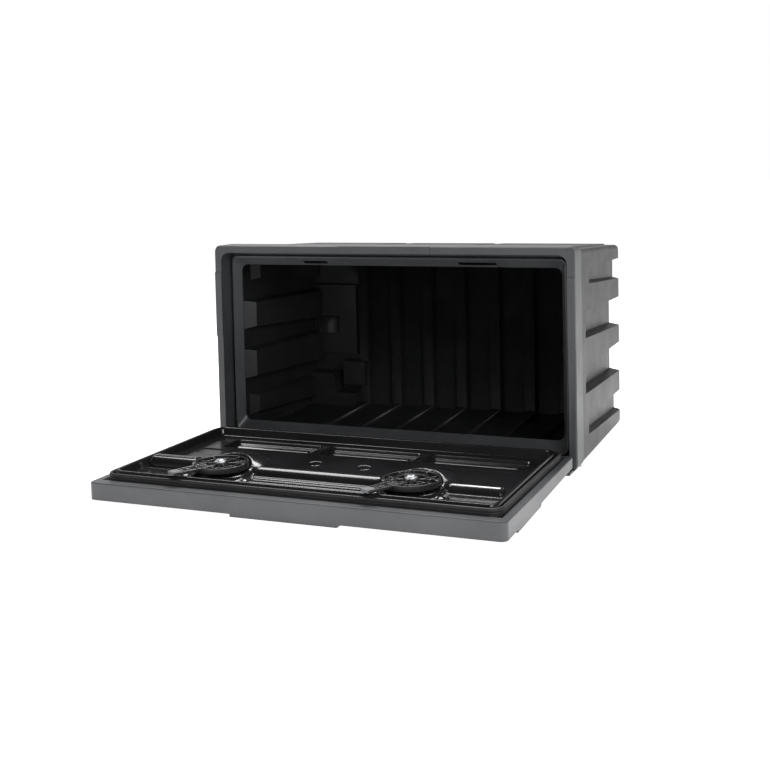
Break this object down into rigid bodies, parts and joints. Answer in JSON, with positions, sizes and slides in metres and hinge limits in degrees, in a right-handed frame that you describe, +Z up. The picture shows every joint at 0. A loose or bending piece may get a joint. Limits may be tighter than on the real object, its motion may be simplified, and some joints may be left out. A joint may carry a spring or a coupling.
{
  "type": "under-body storage toolbox",
  "caption": "Ribbed moulded storage toolbox for mounting under a vehicle body, with a drop-down front door on a bottom hinge and two rotary locks.",
  "frame": {"origin": "centre of the whole object's footprint, door open, on the ground it stands on", "axes": "+X to the right seen from the front, -Y out of the box's mouth, +Z up"},
  "size_m": [0.8, 0.91, 0.438],
  "materials": {
    "shell_black": "satin moulded polypropylene, fine grain",
    "rim_grey": "satin dark grey moulded plastic, fine grain",
    "panel_gloss_black": "glossy thermoformed black",
    "gasket_rubber": "matt sealing rubber",
    "lock_black": "satin glass-filled nylon",
    "cam_black": "satin glass-filled nylon",
    "zinc_steel": "zinc-plated steel"
  },
  "bodies": {
    "box": {"box_shell": "shell_black", "front_rim": "rim_grey", "keeper_plate_left": "zinc_steel", "keeper_plate_right": "zinc_steel", "hinge_bracket_left": "lock_black", "hinge_bracket_right": "lock_black", "hinge_pin_left": "zinc_steel", "hinge_pin_right": "zinc_steel", "bracket_cross_pin_left": "zinc_steel", "bracket_cross_pin_right": "zinc_steel", "drain_plug_left": "gasket_rubber", "drain_plug_right": "gasket_rubber"},
    "door": {"door_outer_shell": "rim_grey", "door_inner_panel": "panel_gloss_black", "door_gasket": "gasket_rubber", "lock_housing_left": "lock_black", "lock_housing_right": "lock_black"},
    "lock_left": {"lock_handle_left": "lock_black", "lock_spindle_left": "zinc_steel", "latch_cam_left": "cam_black", "cam_screw_left": "zinc_steel"},
    "key_left": {"key_cylinder_left": "zinc_steel"},
    "cover_left": {"key_cover_left": "lock_black"},
    "lock_right": {"lock_handle_right": "lock_black", "lock_spindle_right": "zinc_steel", "latch_cam_right": "cam_black", "cam_screw_right": "zinc_steel"},
    "key_right": {"key_cylinder_right": "zinc_steel"},
    "cover_right": {"key_cover_right": "lock_black"}
  },
  "joints": [
    {"name": "door_hinge", "type": "hinge", "parent": "box", "child": "door", "pos_m": [0, -0.026, 0.013], "axis": [-1, 0, 0], "range_deg": [0, 90]},
    {"name": "lock_turn_left", "type": "hinge", "parent": "door", "child": "lock_left", "pos_m": [-0.19, -0.338, 0.05], "axis": [0, 0, 1], "range_deg": [0, 28]},
    {"name": "key_turn_left", "type": "hinge", "parent": "lock_left", "child": "key_left", "pos_m": [-0.19, -0.338, 0.01], "axis": [0, 0, 1], "range_deg": [0, 90]},
    {"name": "cover_swing_left", "type": "hinge", "parent": "lock_left", "child": "cover_left", "pos_m": [-0.176, -0.338, 0.0025], "axis": [0, 0, 1], "range_deg": [0, 110]},
    {"name": "lock_turn_right", "type": "hinge", "parent": "door", "child": "lock_right", "pos_m": [0.19, -0.338, 0.05], "axis": [0, 0, 1], "range_deg": [0, 28]},
    {"name": "key_turn_right", "type": "hinge", "parent": "lock_right", "child": "key_right", "pos_m": [0.19, -0.338, 0.01], "axis": [0, 0, 1], "range_deg": [0, 90]},
    {"name": "cover_swing_right", "type": "hinge", "parent": "lock_right", "child": "cover_right", "pos_m": [0.204, -0.338, 0.0025], "axis": [0, 0, 1], "range_deg": [0, 110]}
  ]
}
